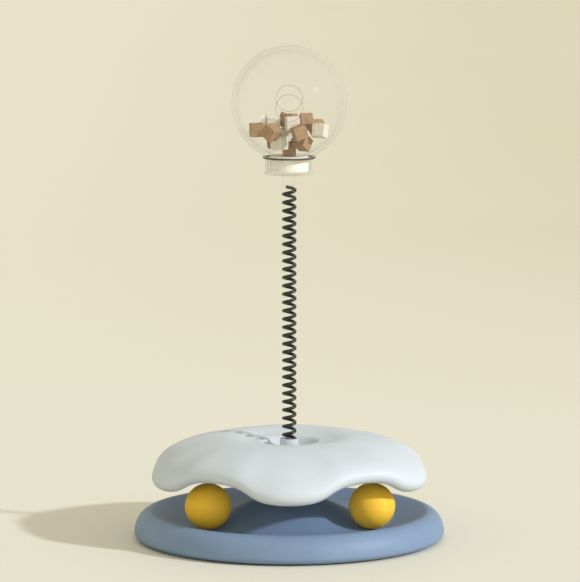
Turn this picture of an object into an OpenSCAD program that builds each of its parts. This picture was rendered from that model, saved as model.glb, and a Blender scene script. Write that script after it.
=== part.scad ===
// Cat treat dispenser toy: a ball-track base with a scalloped cover, and a clear treat globe on a spring.
// Millimetres. +Z is up, -Y is the front, and the origin is on the floor under the spring.

/* [Tray] */
// Radius of the tray at its widest
tray_r = 120; // [116:1:128]
// Height of the widest point of the rim above the floor
rim_belly_z = 5.5; // [5:0.5:8]
// Width of the rim, from its widest point in to the lip round the dish
rim_w = 13; // [11:0.5:16]
// Height of the lip above the floor
lip_z = 22; // [20:0.5:26]
// How far the rim draws in again under its widest point
rim_tuck = 7; // [4:0.5:8]
// Wall of the tray
tray_wall = 2.4; // [1.8:0.1:3]
// Radius of the path that the balls roll on
track_r = 72; // [68:1:76]
// Height of the lowest line of the track
track_z = 13; // [11:0.5:14]
// Height of the dome inside the track, where it meets the column
dome_z = 30; // [26:0.5:34]
// Outer radius of the centre column
column_r = 19; // [18:0.5:22]
// Height of the column's top
column_z = 60; // [56:0.5:62]

/* [Base plate] */
// Gap between the floor and the tray's bottom edge
ground_gap = 0.8; // [0.5:0.1:1.2]
// Thickness of the plate that closes the base
plate_t = 2; // [1.6:0.1:3]
// Radius of a rubber foot
foot_r = 9; // [6:0.5:11]
// Thickness of a rubber foot
foot_t = 1.4; // [1.2:0.1:2]
// How far a foot's middle lies inside the plate's edge
foot_inset = 26.45; // [24:0.05:32]
// How far a plate screw's middle lies inside the plate's edge
screw_inset = 11.45; // [9:0.05:13]
// Radius of a screw's shank
screw_r = 1.5; // [1.2:0.1:1.8]
// Length of a screw
screw_len = 9; // [7:0.5:11]

/* [Balls] */
// Radius of a track ball
ball_r = 17.8; // [15:0.1:18.5]
// Turn of the left ball from the front, along the track
left_ball_turn = 60; // [40:1:80]
// Turn of the right ball from the front, along the track
right_ball_turn = 62; // [40:1:80]

/* [Cover] */
// Number of lobes round the cover
lobes = 5; // [4:1:6]
// Mean radius of the cover's widest line
cover_r = 104; // [100:0.5:106]
// How far a lobe stands out of the mean radius
lobe_swell = 4.5; // [0:0.5:6]
// Mean height of the cover's lower edge
edge_z = 49.3; // [48:0.1:53]
// How far the lower edge waves up and down
edge_wave = 6.1; // [4:0.1:8]
// Share of a plain wave's roundness left in the edge: less makes flatter lobes with steeper sides
edge_round = 0.6; // [0.4:0.05:1]
// How far the wall rolls in under the widest line
roll_in = 7.5; // [5:0.5:9]
// Height of the widest line above the lower edge
roll_h = 7; // [5:0.5:9]
// Height of the cover's crest
crest_z = 80; // [78:0.5:90]
// Radius of the crest
crest_r = 48; // [40:1:52]
// Wall of the cover
cover_wall = 2.2; // [1.6:0.1:3]
// Squareness of the cover's shoulder, where 2 is an ellipse
shoulder = 1.7; // [1.5:0.1:3]
// Height of the floor of the dish in the cover's middle
dish_z = 68; // [66:0.5:70]
// Width of that floor round the socket's flange
dish_margin = 0.6; // [0.4:0.1:2]
// Radius of the dish's rim
dish_rim_r = 25; // [22:0.5:32]
// Height of the dish's rim
dish_rim_z = 76.6; // [74:0.1:78]

/* [Spring and socket] */
// Outer radius of the spring
spring_r = 5.75; // [5:0.05:6.5]
// Diameter of the spring's wire
wire_d = 2.6; // [1.8:0.1:2.8]
// Rise of one turn of the spring
coil_pitch = 6.45; // [4:0.05:9]
// Height of the spring's top end
spring_top_z = 274.5; // [220:0.5:320]
// Wall of the socket that holds the spring
socket_wall = 1.3; // [1:0.1:1.8]
// Height of the socket's mouth
socket_z = 78; // [75:0.1:80]
// Depth of the spring in the socket
socket_depth = 18; // [10:0.1:18]
// How far the socket's flange stands out
flange_out = 3.2; // [2:0.1:3.6]
// Thickness of the socket's flange
flange_t = 2; // [1.5:0.1:3]
// Height of the lock nut
nut_h = 6.4; // [5:0.1:8]
// Wall of the lock nut at its flats
nut_wall = 2.8; // [2:0.1:4]

/* [Treat globe] */
// Outer radius of the globe
globe_r = 44.5; // [42:0.5:50]
// Wall of the globe
globe_wall = 3; // [2:0.1:4]
// Radius of a treat hole
hole_r = 10; // [8:0.5:11]
// Outer radius of the globe's neck
neck_r = 17; // [16:0.1:18]
// Wall of the neck
neck_wall = 2.2; // [1.6:0.1:2.6]
// Length of the neck below its collar
neck_len = 10; // [7:0.5:10.5]
// How far the neck's collar stands out of the neck
collar_out = 3.2; // [2:0.1:4]
// Thickness of the neck's collar
collar_t = 1.5; // [1:0.1:2]
// Thickness of the seal ring under that collar
seal_t = 1.2; // [0.8:0.1:1.5]

/* [Globe cap] */
// Wall of the cap
cap_wall = 1.5; // [1.2:0.1:2]
// Height of the cap
cap_h = 12; // [11.5:0.5:15]
// Thickness of the cap's floor
cap_floor = 2; // [1.5:0.1:2.5]
// Length of the stem under the cap
stem_len = 9.3; // [6:0.1:14]
// How far the stem's side lies inside the spring's
stem_inset = 0.75; // [0.2:0.05:1]
// Length of the peg that goes into the spring
peg_len = 12.5; // [8:0.5:20]
// Wall of the liner that keeps treats out of the cap
liner_wall = 1.4; // [1:0.1:2]
// How far the liner's top stands above the neck collar's underside
liner_rise = 0.5; // [0:0.1:1]

/* [Treats] */
// Side of a treat cube
treat_s = 10.5; // [8:0.1:10.5]
// Turn of the first treat of the lower ring from the front
lower_turn = -36; // [-45:1:45]
// Turn of the first treat of the outer ring from the front
outer_turn = -85; // [-90:1:90]
// Turn of the first treat of the upper ring from the front
upper_turn = 10; // [-45:1:45]
// Turn of each treat of the middle stack on the one below
stack_twist = 35; // [0:1:45]
// How much further each treat of a ring is rolled than the one before
treat_roll = 35; // [0:1:45]

/* [Hidden] */
fit = 0.15;                     // radial clearance of pieces that push together
thread_fit = 0.05;              // radial clearance of screws and of the nut
roll_gap = 0.3;                 // gap between a ball and the track, and between treats
peg_gap = 0.2;                  // gap between the peg and the spring's inner side
seal_gap = 0.02;                // gap between the seal ring and the collar that rests on it
through = 1;                    // how far a cut runs past the face it opens
column_plate_t = 2.5;           // thickness of the column's top
boss_wall = 2.1;                // wall of a screw boss round its hole
lip_edge_turn = 84;             // turn from level at which the rim starts under the lip
lip_band = 3;                   // width of the solid band under the lip
sleeve_wall = 4;                // wall of the cover's sleeve that stands on the column
sleeve_inset = 2.5;             // how far that sleeve lies inside the column's side
stem_below_nut = 2;             // how far the socket's stem shows under the nut
sphere_step = 0.2;              // how far the globe overlaps its collar's edge
tuck_turn = -10;                // turn from level at which the rim starts to draw in under its widest point
inner_rim_turn = 80;            // turn from level at which the inside of the rim ends under the lip
dish_line_steps = 36;           // facets of the tray's upper face from the column to the lip
rim_steps = 14;                 // facets of the rim's outside
inner_rim_steps = 8;            // facets of the rim's inside, and of its tuck
stack_kinds = "bpb";            // treats of the middle stack from below, b for brown and p for pale
lower_kinds = "pbpb";           // treats of the lower ring
outer_kinds = "bbbpbpp";        // treats of the outer ring
upper_kinds = "pbbp";           // treats of the upper ring
nut_sides = 6;
rings_per_curl = 8;
wire_sides = 6;
bend_steps = 4;                 // facets of the bend at each end of the spring
edge_steps = 16;                // facets of the cover's edge on one lobe
roll_turn = 75;                 // turn from level at which the cover's rolled wall ends
shoulder_steps = 10;            // facets of the cover from its crest to its widest line
roll_steps = 4;                 // facets of the cover from its widest line to its edge
dish_steps = 6;                 // facets of the cover's dish from its floor to its rim
crest_steps = 4;                // facets of the cover from the dish's rim to the crest
skip_rings = 6;                 // rings of the spring that count as neighbours
$fn = 96;

lobe_turn = 360 / lobes;
lip_r = tray_r - rim_w;
spring_mean_r = spring_r - wire_d / 2;
socket_bore_r = spring_r + fit;
socket_r = socket_bore_r + socket_wall;
socket_floor_z = socket_z - socket_depth;
flange_r = socket_r + flange_out;
dish_r = flange_r + dish_margin;
nut_z = column_z - column_plate_t - nut_h;
nut_af = 2 * (socket_r + thread_fit + nut_wall);
stem_r = spring_r - stem_inset;
peg_r = spring_mean_r * cos(180 / rings_per_curl) - wire_d / 2 - peg_gap;
cap_r = neck_r + fit + cap_wall;
cap_z = spring_top_z + stem_len;
cap_top_z = cap_z + cap_h;
collar_z = cap_top_z + seal_t + seal_gap;
collar_r = neck_r + collar_out;
mouth_r = neck_r - neck_wall;
globe_inner_r = globe_r - globe_wall;
globe_z = collar_z + collar_t + sqrt(pow(globe_r, 2) - pow(collar_r + sphere_step, 2));
liner_r = mouth_r - fit;
liner_z = collar_z + liner_rise;
skirt_in_r = tray_r - rim_tuck - tray_wall;
plate_z = foot_t;
plate_top_z = plate_z + plate_t;
plate_r = skirt_in_r - fit;
foot_ring_r = plate_r - foot_inset;
screw_ring_r = plate_r - screw_inset;
screw_hole_r = screw_r + thread_fit;
screw_head_r = 2 * screw_r;
boss_r = screw_hole_r + boss_wall;
ball_z = track_z + roll_gap + ball_r;
cover_bore_r = socket_r + fit;
sleeve_out_r = column_r - sleeve_inset;
sleeve_in_r = sleeve_out_r - sleeve_wall;
roll_drop = (roll_h - cover_wall / 2) / sin(roll_turn) + cover_wall / 2;

// Points of an ellipse about centre c with half-axes a and b, between two angles from +r.
function arc_line(c, a, b, from, to, steps) =
  [for (i = [0:steps]) let(t = from + (to - from) * i / steps) c + [a * cos(t), b * sin(t)]];

// Height on a wave that falls from high to low as t goes from 0 to 1.
function ease(high, low, t) = low + (high - low) * (1 + cos(180 * t)) / 2;

// Height of the tray's upper face at radius r: a dome falls into the track, which curves up to the lip.
function tray_height(r) =
  r < track_r
    ? ease(dome_z, track_z, (r - column_r) / (track_r - column_r))
    : track_z + (lip_z - track_z) * (1 - cos(90 * (r - track_r) / (lip_r - track_r)));

// Line along the tray's upper face between two radii, lowered by drop.
function tray_line(from, to, drop, steps) =
  [for (i = [0:steps]) let(r = from + (to - from) * i / steps) [r, tray_height(r) - drop]];

// Section of the tray: column, dome, track, lip, rolled rim, and the same inside at the wall's thickness.
module tray_section() {
  column_in_r = column_r - tray_wall;
  rim_a = tray_r - lip_r;
  rim_b = lip_z - rim_belly_z;
  tuck_b = rim_belly_z - ground_gap;
  polygon(concat(
    [[0, column_z], [column_r, column_z]],
    tray_line(column_r, lip_r, 0, dish_line_steps),
    arc_line([lip_r, rim_belly_z], rim_a, rim_b, lip_edge_turn, 0, rim_steps),
    arc_line([tray_r - rim_tuck, rim_belly_z], rim_tuck, tuck_b, tuck_turn, -90, inner_rim_steps),
    [[skirt_in_r, ground_gap], [skirt_in_r, plate_top_z]],
    arc_line([lip_r, rim_belly_z], rim_a - tray_wall, rim_b - tray_wall, 0, inner_rim_turn, inner_rim_steps),
    tray_line(lip_r - lip_band, column_r, tray_wall, dish_line_steps),
    [[column_in_r, dome_z - tray_wall], [column_in_r, column_z - column_plate_t]],
    [[0, column_z - column_plate_t]]
  ));
}

// Places children at each plate screw, between two lobes.
module at_screws() {
  for (i = [0:lobes - 1]) rotate(lobe_turn * (i + 0.5)) translate([0, -screw_ring_r, 0]) children();
}

// Places children at each foot, under a lobe.
module at_feet() {
  for (i = [0:lobes - 1]) rotate(lobe_turn * i) translate([0, -foot_ring_r, 0]) children();
}

module tray() {
  boss_h = tray_height(screw_ring_r) - tray_wall / 2 - plate_top_z;
  color("slategray") difference() {
    union() {
      rotate_extrude() tray_section();
      at_screws() translate([0, 0, plate_top_z]) cylinder(r = boss_r, h = boss_h);
    }
    translate([0, 0, column_z - column_plate_t - through])
      cylinder(r = socket_r + fit, h = column_plate_t + 2 * through);
    at_screws() translate([0, 0, plate_top_z - through]) cylinder(r = screw_hole_r, h = screw_len);
  }
}

module bottom_plate() {
  color("slategray") difference() {
    translate([0, 0, plate_z]) cylinder(r = plate_r, h = plate_t);
    at_screws() translate([0, 0, plate_z - through]) cylinder(r = screw_hole_r, h = plate_t + 2 * through);
    at_screws() translate([0, 0, plate_z])
      cylinder(r1 = screw_head_r + thread_fit, r2 = screw_hole_r, h = screw_head_r - screw_r);
  }
}

module plate_screws() {
  color("silver") at_screws() translate([0, 0, plate_z]) {
    cylinder(r1 = screw_head_r, r2 = screw_r, h = screw_head_r - screw_r);
    cylinder(r = screw_r, h = screw_len);
  }
}

module rubber_feet() {
  color("dimgray") at_feet() cylinder(r = foot_r, h = foot_t);
}

// A track ball, turned from the front along the track.
module track_ball(turn) {
  color("gold") rotate(turn) translate([0, -track_r, ball_z]) sphere(r = ball_r);
}

module ball_left() {
  track_ball(-left_ball_turn);
}

module ball_right() {
  track_ball(right_ball_turn);
}

// Radius of the cover's widest line and height of its lower edge at a turn from the front: lobes stand out
// and hang low.
function cover_edge(turn) =
  let(
    wave = cos(lobes * turn),
    edge = wave / sqrt(pow(wave, 2) + pow(edge_round, 2) * (1 - pow(wave, 2)))
  ) [cover_r + lobe_swell * wave, edge_z - edge_wave * edge];

// One point of the cover's shoulder: a squared quarter ellipse from the crest (t = 0) to the widest line
// (t = 90).
function shoulder_point(belly, top, t) =
  [crest_r + (belly[0] - crest_r) * pow(sin(t), 2 / shoulder),
   belly[1] + (top - belly[1]) * pow(cos(t), 2 / shoulder)];

// One point of the wall that rolls in under the widest line, at a depth in the wall and a turn below level.
function roll_point(belly, depth, t) =
  belly - [roll_in, 0] + [(roll_in - depth) * cos(t), -(roll_drop - depth) * sin(t)];

// Height of the cover inside its crest at radius r: it falls gently to the dish's rim, then to the floor.
function dish_height(r) = r > dish_rim_r
  ? ease(crest_z, dish_rim_z, (crest_r - r) / (crest_r - dish_rim_r))
  : ease(dish_rim_z, dish_z, (dish_rim_r - r) / (dish_rim_r - dish_r));

// Closed section of the cover at a turn: dish, shoulder, rolled wall with a round edge, inside, and the
// sleeve on the column.
function cover_section(turn) =
  let(
    edge = cover_edge(turn),
    belly = edge + [0, roll_h],
    lip = cover_wall / 2,
    lip_middle = roll_point(belly, lip, roll_turn),
    top_r = [for (i = [0:crest_steps - 1]) dish_rim_r + (crest_r - dish_rim_r) * i / crest_steps]
  )
  concat(
    [[cover_bore_r, dish_z]],
    [for (i = [0:dish_steps - 1])
      let(r = dish_r + (dish_rim_r - dish_r) * i / dish_steps) [r, dish_height(r)]],
    [for (r = top_r) [r, dish_height(r)]],
    [for (i = [0:shoulder_steps]) shoulder_point(belly, crest_z, 90 * i / shoulder_steps)],
    [for (i = [1:roll_steps]) roll_point(belly, 0, roll_turn * i / roll_steps)],
    [for (t = [45:45:135]) lip_middle + lip * [cos(roll_turn + t), -sin(roll_turn + t)]],
    [for (i = [roll_steps:-1:1]) roll_point(belly, cover_wall, roll_turn * i / roll_steps)],
    [for (i = [shoulder_steps:-1:0])
      shoulder_point(belly - [cover_wall, 0], crest_z - cover_wall, 90 * i / shoulder_steps)],
    [for (i = [crest_steps - 1:-1:1]) [top_r[i], dish_height(top_r[i]) - cover_wall]],
    [for (i = [0:dish_steps - 1])
      let(r = dish_rim_r + (sleeve_out_r - dish_rim_r) * i / dish_steps) [r, dish_height(r) - cover_wall]],
    [[sleeve_out_r, dish_z - cover_wall], [sleeve_out_r, column_z], [sleeve_in_r, column_z]],
    [[sleeve_in_r, dish_z - cover_wall], [cover_bore_r, dish_z - cover_wall]]
  );

// Triangles of a grid of points that closes on itself in both directions, with n rows of m points.
function ring_faces(n, m) =
  [for (i = [0:n - 1], j = [0:m - 1])
    let(a = i * m, b = (i + 1) % n * m, k = (j + 1) % m)
    each [[a + j, b + j, a + k], [a + k, b + j, b + k]]];

module cover() {
  turns = lobes * edge_steps;
  sections = [for (i = [0:turns - 1]) cover_section(360 * i / turns)];
  points = [for (i = [0:turns - 1], p = sections[i])
    let(turn = 360 * i / turns) [p[0] * sin(turn), -p[0] * cos(turn), p[1]]];
  color("aliceblue") polyhedron(points, ring_faces(turns, len(sections[0])));
}

module spring_socket() {
  color("lightsteelblue") difference() {
    union() {
      translate([0, 0, nut_z - stem_below_nut]) cylinder(r = socket_r, h = socket_z - nut_z + stem_below_nut);
      translate([0, 0, dish_z]) cylinder(r = flange_r, h = flange_t);
    }
    translate([0, 0, socket_floor_z]) cylinder(r = socket_bore_r, h = socket_depth + through);
  }
}

module lock_nut() {
  color("white") translate([0, 0, nut_z]) difference() {
    cylinder(d = nut_af / cos(180 / nut_sides), h = nut_h, $fn = nut_sides);
    translate([0, 0, -through]) cylinder(r = socket_r + thread_fit, h = nut_h + 2 * through);
  }
}

// Spring's path unrolled from its cylinder as [length round, height]: a straight end square to the socket's
// floor, a bend, the turns at their pitch, a bend, and a straight end square to the stem.
function unrolled_spring() =
  let(
    turn_len = 360 * spring_mean_r * PI / 180,
    slope = atan(coil_pitch / turn_len),
    bend = wire_d,
    rise = wire_d + bend * cos(slope),
    first = [bend * (1 - sin(slope)), socket_floor_z + rise],
    height = spring_top_z - socket_floor_z - 2 * rise,
    steps = ceil(height / coil_pitch * rings_per_curl),
    last = first + [height / tan(slope), height],
    bend_turns = [for (i = [0:bend_steps - 1]) i * (90 - slope) / bend_steps]
  )
  concat(
    [[0, socket_floor_z]],
    [for (t = bend_turns) [bend * (1 - cos(t)), socket_floor_z + wire_d + bend * sin(t)]],
    [for (i = [0:steps]) first + (last - first) * i / steps],
    [for (i = [bend_steps - 1:-1:0])
      let(t = bend_turns[i])
      [last[0] + bend * (cos(t) - sin(slope)), spring_top_z - wire_d - bend * sin(t)]],
    [[last[0] + bend * (1 - sin(slope)), spring_top_z]]
  );

// Unrolled point u wrapped on the spring's cylinder.
function wrap(u) =
  let(turn = u[0] / spring_mean_r * 180 / PI)
  [spring_mean_r * cos(turn), spring_mean_r * sin(turn), u[1]];

function unit(v) = v / norm(v);

// Ring of the wire about path point i, square to the path there.
function wire_ring(path, i) =
  let(
    p = path[i],
    along = unit(path[min(i + 1, len(path) - 1)] - path[max(i - 1, 0)]),
    level = i == 0 || i == len(path) - 1 ? [0, 0, 1] : along,
    out = unit([p[0], p[1], 0]),
    side = unit(cross(level, out)),
    face = unit(cross(side, level))
  )
  [for (k = [0:wire_sides - 1])
    let(t = 360 * k / wire_sides) p + wire_d / 2 * (cos(t) * face + sin(t) * side)];

// Triangles of a tube of n rings of m points, with its two ends closed.
function tube_faces(n, m) = concat(
  [for (i = [0:n - 2], j = [0:m - 1])
    let(a = i * m, b = a + m, k = (j + 1) % m)
    each [[a + j, b + j, a + k], [a + k, b + j, b + k]]],
  [for (j = [1:m - 2]) [0, j, j + 1]],
  [for (j = [1:m - 2]) let(a = (n - 1) * m) [a, a + j + 1, a + j]]
);

// Least gap of the spring's wire to itself, over all rings that aren't neighbours.
function spring_gap() =
  let(path = [for (u = unrolled_spring()) wrap(u)], n = len(path))
  min([for (i = [0:n - skip_rings - 1], j = [i + skip_rings:n - 1]) norm(path[i] - path[j])]) - wire_d;

module spring() {
  path = [for (u = unrolled_spring()) wrap(u)];
  rings = [for (i = [0:len(path) - 1]) each wire_ring(path, i)];
  color("black") polyhedron(rings, tube_faces(len(path), wire_sides));
}

module globe_cap() {
  color("white", 0.4) difference() {
    union() {
      translate([0, 0, cap_z]) cylinder(r = cap_r, h = cap_h);
      translate([0, 0, spring_top_z]) cylinder(r = stem_r, h = stem_len);
      translate([0, 0, spring_top_z - peg_len]) cylinder(r = peg_r, h = peg_len);
    }
    translate([0, 0, cap_z + cap_floor]) cylinder(r = neck_r + fit, h = cap_h);
  }
}

module cap_liner() {
  floor_z = cap_z + cap_floor;
  liner_h = liner_z - floor_z;
  color("ivory") difference() {
    translate([0, 0, floor_z]) cylinder(r = liner_r, h = liner_h);
    translate([0, 0, floor_z - through])
      cylinder(r = liner_r - liner_wall, h = liner_h - liner_wall + through);
  }
}

module seal_ring() {
  color("black") translate([0, 0, cap_top_z]) difference() {
    cylinder(r = collar_r, h = seal_t);
    translate([0, 0, -through]) cylinder(r = neck_r + fit, h = seal_t + 2 * through);
  }
}

module globe() {
  color("white", 0.3) difference() {
    union() {
      translate([0, 0, globe_z]) sphere(r = globe_r);
      translate([0, 0, collar_z]) cylinder(r = collar_r, h = collar_t);
      translate([0, 0, collar_z - neck_len]) cylinder(r = neck_r, h = neck_len + collar_t);
    }
    translate([0, 0, globe_z]) sphere(r = globe_inner_r);
    translate([0, 0, collar_z - neck_len - through]) cylinder(r = mouth_r, h = globe_z - collar_z);
    translate([0, 0, globe_z]) rotate([90, 0, 0])
      cylinder(r = hole_r, h = 2 * (globe_r + through), center = true);
  }
}

// Places of the treats as [distance from the axis, height, turn, roll]: a stack in the middle, a ring of four
// round it, a ring of seven against the globe's wall, and four more on the inner ring.
function treat_places() =
  let(
    half = treat_s / 2,
    reach = half * sqrt(2),
    inner = half + reach + roll_gap,
    outer = norm([inner + half, reach]) + half + roll_gap,
    inner_z = globe_z - sqrt(pow(globe_inner_r, 2) - pow(inner + half, 2)) + reach + roll_gap,
    outer_z = globe_z - sqrt(pow(globe_inner_r, 2) - pow(outer + half, 2)) + reach + roll_gap,
    upper_z = inner_z + 2 * reach + roll_gap
  )
  concat(
    [for (i = [0:len(stack_kinds) - 1])
      [0, liner_z + half + roll_gap + i * (treat_s + roll_gap), stack_twist * i, 0]],
    treat_ring(inner, inner_z, lower_turn, len(lower_kinds)),
    treat_ring(outer, outer_z, outer_turn, len(outer_kinds)),
    treat_ring(inner, upper_z, upper_turn, len(upper_kinds))
  );

// Places of n treats on a ring.
function treat_ring(distance, height, first, n) =
  [for (i = [0:n - 1]) [distance, height, first + 360 / n * i, treat_roll * i]];

// All treats of one kind.
module treats(kind) {
  places = treat_places();
  kinds = str(stack_kinds, lower_kinds, outer_kinds, upper_kinds);
  for (i = [0:len(places) - 1]) if (kinds[i] == kind)
    rotate(places[i][2]) translate([0, -places[i][0], places[i][1]])
      rotate([0, places[i][3], 0]) cube(treat_s, center = true);
}

module brown_treats() {
  color("peru") treats("b");
}

module pale_treats() {
  color("wheat") treats("p");
}

echo(spring_least_gap = spring_gap());

tray();
bottom_plate();
plate_screws();
rubber_feet();
ball_left();
ball_right();
cover();
spring_socket();
lock_nut();
spring();
globe_cap();
cap_liner();
seal_ring();
globe();
brown_treats();
pale_treats();
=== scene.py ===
"""Looks of a cat treat dispenser toy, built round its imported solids.

Two balls roll in a tray under a scalloped cover, and a clear globe of treats sways on a coil spring above it.
Each new piece is a surface worked out as an array of points from the sizes below. Lengths are metres in the
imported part's own frame: +Z is up, -Y is the front, and the origin is on the floor under the spring.
"""

import bmesh
import bpy
import numpy as np
from bpy.props import FloatProperty, FloatVectorProperty, IntProperty, PointerProperty, StringProperty
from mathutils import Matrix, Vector


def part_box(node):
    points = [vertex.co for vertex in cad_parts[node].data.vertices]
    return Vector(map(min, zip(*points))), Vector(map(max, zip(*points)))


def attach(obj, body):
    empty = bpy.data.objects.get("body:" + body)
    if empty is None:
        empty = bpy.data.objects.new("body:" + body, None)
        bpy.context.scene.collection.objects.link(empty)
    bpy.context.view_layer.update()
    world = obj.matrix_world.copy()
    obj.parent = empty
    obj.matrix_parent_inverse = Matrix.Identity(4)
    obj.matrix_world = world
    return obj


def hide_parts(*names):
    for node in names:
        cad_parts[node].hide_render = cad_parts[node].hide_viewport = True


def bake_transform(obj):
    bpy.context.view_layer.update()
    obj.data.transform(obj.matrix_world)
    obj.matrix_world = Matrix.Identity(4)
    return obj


bl_info = {
    "name": "Cat Treat Dispenser Toy",
    "version": (1, 0, 0),
    "blender": (4, 5, 0),
    "location": "3D View > Sidebar > Treat Toy",
    "description": "Builds the tray, cover, balls, spring, globe and treats of a cat toy, and their stage",
    "category": "Add Mesh",
}

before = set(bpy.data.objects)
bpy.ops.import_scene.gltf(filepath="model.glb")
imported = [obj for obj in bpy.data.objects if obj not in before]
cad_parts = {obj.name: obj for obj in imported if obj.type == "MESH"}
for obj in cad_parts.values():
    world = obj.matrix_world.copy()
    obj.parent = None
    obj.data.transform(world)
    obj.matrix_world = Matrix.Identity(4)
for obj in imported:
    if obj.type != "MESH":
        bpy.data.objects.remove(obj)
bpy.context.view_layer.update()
LOW = {name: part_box(name)[0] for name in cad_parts}
HIGH = {name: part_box(name)[1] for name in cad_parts}

IMAGE_SIDE = 582        # pixels on the long side of the picture
SENSOR = 36.0           # millimetres of the camera's sensor on that side
Y, Z = 1, 2             # places of two axes in a point
WELD = 1e-6             # points closer than this are one
AIR = 0.00005           # gap left between the liner and the clear floor that it rests on
SECTION_STEP = 0.0015   # longest side of a face along a turned section
EDGE_ROUND = 0.0005     # rounding of the edges of the socket, neck and cap
LINER_ROUND = 0.0004    # rounding of the liner's edges
SEAL_ROUND = 0.0003     # rounding of the seal's edges
GRAIN_DEPTH = 0.00002   # depth of the mould's grain
PORE_DEPTH = 0.0003     # depth of a treat's pores
STEEL_SHADE = 0.8       # second tone of the steel, as a share of the first
MARK_ROUGH = 0.06       # roughness that handling adds to clear plastic
EDGE_POWER = 5.0        # how steeply clear plastic's skin grows towards the edge of what is seen
COLOUR, NUMBER = "NodeSocketColor", "NodeSocketFloat"   # kinds of socket
WHITE = (1, 1, 1, 1)
FLOOR_RINGS = (0, 0.5, 1, 2, 4, 8, 16)  # radii of the floor's points inside its edge
NECK_FLARE = (0.0006, 0.0008)   # how far the globe's two faces end outside the collar and the mouth


def srgb(red, green, blue):
    """Linear colour of a colour that a screen shows, with channels from 0 to 255."""
    shown = np.array([red, green, blue]) / 255
    return tuple(np.where(shown <= 0.04045, shown / 12.92, ((shown + 0.055) / 1.055) ** 2.4).tolist())


def length(name, description, default):
    return FloatProperty(name=name, description=description, default=default, min=0, precision=5,
                         unit="LENGTH")


def turn(name, description, degrees):
    return FloatProperty(name=name, description=description, default=float(np.radians(degrees)),
                         subtype="ANGLE")


def share(name, description, default):
    return FloatProperty(name=name, description=description, default=default, min=0, max=1, subtype="FACTOR")


def number(name, description, default):
    return FloatProperty(name=name, description=description, default=default)


def count(name, description, default):
    return IntProperty(name=name, description=description, default=default, min=1)


def colour(name, description, shown):
    return FloatVectorProperty(name=name, description=description, default=srgb(*shown), min=0, max=1,
                               subtype="COLOR")


class TraySizes(bpy.types.PropertyGroup):
    """Section of the tray, from its column to its rolled rim, and the screws and feet under it."""

    rim_r: length("Rim radius", "Radius of the tray at its widest", HIGH["tray"].x)
    belly_z: length("Belly height", "Height of the widest point of the rim", 0.0055)
    rim_w: length("Rim width", "Width of the rim from its widest point in to the lip", 0.013)
    lip_z: length("Lip height", "Height of the lip round the dish", 0.022)
    lip_round: length("Lip rounding", "How far the lip's rounding reaches to each side", 0.0014)
    tuck: length("Tuck", "How far the rim draws in under its widest point", 0.007)
    wall: length("Wall", "Wall of the tray", 0.0024)
    track_r: length("Track radius", "Radius of the lowest line of the track", 0.072)
    track_z: length("Track height", "Height of the lowest line of the track", 0.013)
    dome_z: length("Dome height", "Height of the dome where it meets the column", 0.030)
    column_r: length("Column radius", "Outer radius of the centre column", 0.019)
    column_z: length("Column height", "Height of the column's top", HIGH["tray"].z)
    column_plate: length("Column plate", "Thickness of the column's top", 0.0025)
    bore_r: length("Bore radius", "Radius of the hole in the column's top", 0.00735)
    ground_gap: length("Ground gap", "Height of the tray's bottom edge", LOW["tray"].z)
    foot_r: length("Foot radius", "Radius of a rubber foot", 0.009)
    foot_ring_r: length("Foot circle", "Radius of the circle that the feet lie on", 0.084)
    screw_r: length("Screw radius", "Radius of a screw's shank", 0.0015)
    screw_ring_r: length("Screw circle", "Radius of the circle that the screws lie on", 0.099)
    recess_w: length("Recess width", "Width of the cross recess in a screw's head", 0.0007)
    recess_depth: length("Recess depth", "Depth of the cross recess in a screw's head", 0.0008)


class CoverSizes(bpy.types.PropertyGroup):
    """Section of the scalloped cover and the waves of its edge."""

    lobes: count("Lobes", "Number of lobes round the cover", 5)
    widest_r: length("Widest radius", "Mean radius of the cover's widest line", 0.104)
    lobe_swell: length("Lobe swell", "How far a lobe stands out of the mean radius", 0.0045)
    edge_z: length("Edge height", "Mean height of the cover's lower edge", 0.0493)
    edge_wave: length("Edge wave", "How far the lower edge waves up and down", 0.0061)
    edge_round: share("Edge roundness", "Share of a plain wave's roundness left in the edge", 0.6)
    roll_in: length("Roll", "How far the wall rolls in under the widest line", 0.0075)
    roll_h: length("Roll height", "Height of the widest line above the lower edge", 0.007)
    roll_turn: turn("Roll turn", "Turn from level at which the rolled wall ends", 75)
    crest_z: length("Crest height", "Height of the cover's crest", HIGH["cover"].z)
    crest_r: length("Crest radius", "Radius of the crest", 0.048)
    wall: length("Wall", "Wall of the cover", 0.0022)
    shoulder: number("Shoulder", "Squareness of the shoulder, where 2 is an ellipse", 1.7)
    dish_z: length("Dish floor", "Height of the floor of the dish in the middle", 0.068)
    dish_r: length("Dish floor radius", "Radius of the floor of the dish", 0.011)
    dish_rim_r: length("Dish radius", "Radius of the dish's rim", 0.025)
    dish_rim_z: length("Dish rim height", "Height of the dish's rim", 0.0766)
    bore_r: length("Bore radius", "Radius of the hole for the socket", 0.00735)
    sleeve_out_r: length("Sleeve radius", "Outer radius of the sleeve that stands on the column", 0.0165)
    sleeve_in_r: length("Sleeve bore", "Inner radius of that sleeve", 0.0125)


class BallSizes(bpy.types.PropertyGroup):
    """Track balls and the weld line round each."""

    radius: length("Radius", "Radius of a track ball", 0.0178)
    seam_depth: length("Seam depth", "Depth of the weld line round a ball", 0.00006)
    seam_w: length("Seam width", "Half width of the weld line", 0.00025)
    left_lean: turn("Left seam lean", "Lean of the left ball's weld line", 78)
    right_lean: turn("Right seam lean", "Lean of the right ball's weld line", -64)


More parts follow.
